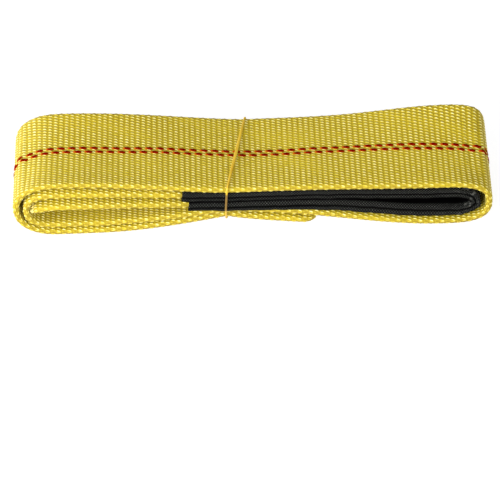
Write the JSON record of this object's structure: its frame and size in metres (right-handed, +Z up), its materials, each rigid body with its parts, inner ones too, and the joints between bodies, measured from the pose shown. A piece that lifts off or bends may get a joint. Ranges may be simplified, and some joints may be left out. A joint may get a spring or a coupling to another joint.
{
  "type": "flat web sling",
  "caption": "Flat woven lifting sling wound into a flat bundle round its sleeved eye and held by a slanted elastic band, with tracer yarns along the middle of the webbing.",
  "frame": {"origin": "middle of the box round the bundle, on the floor it rests on", "axes": "+X along the bundle towards the tip of the eye, +Y across the webbing away from the viewer, +Z up"},
  "size_m": [0.2314, 0.0574, 0.0344],
  "materials": {
    "webbing": "woven polyester, yellow",
    "tracer": "woven yarn, dark red",
    "sleeve": "woven tube, black",
    "thread": "sewing thread, yellow",
    "band": "natural rubber, orange yellow"
  },
  "bodies": {
    "sling": {"webbing": "webbing", "tracer_yarn_front": "tracer", "tracer_yarn_rear": "tracer", "eye_sleeve": "sleeve", "splice_seam_1": "thread", "splice_seam_2": "thread", "splice_seam_3": "thread", "splice_seam_4": "thread", "throat_tack": "thread", "tail_tack": "thread"},
    "band": {"elastic_band": "band"}
  },
  "joints": [
    {"name": "band_slide", "type": "slide", "parent": "sling", "child": "band", "axis": [1, 0, 0], "range_m": [-0.118, 0.135], "deforming": ["elastic_band"]}
  ]
}
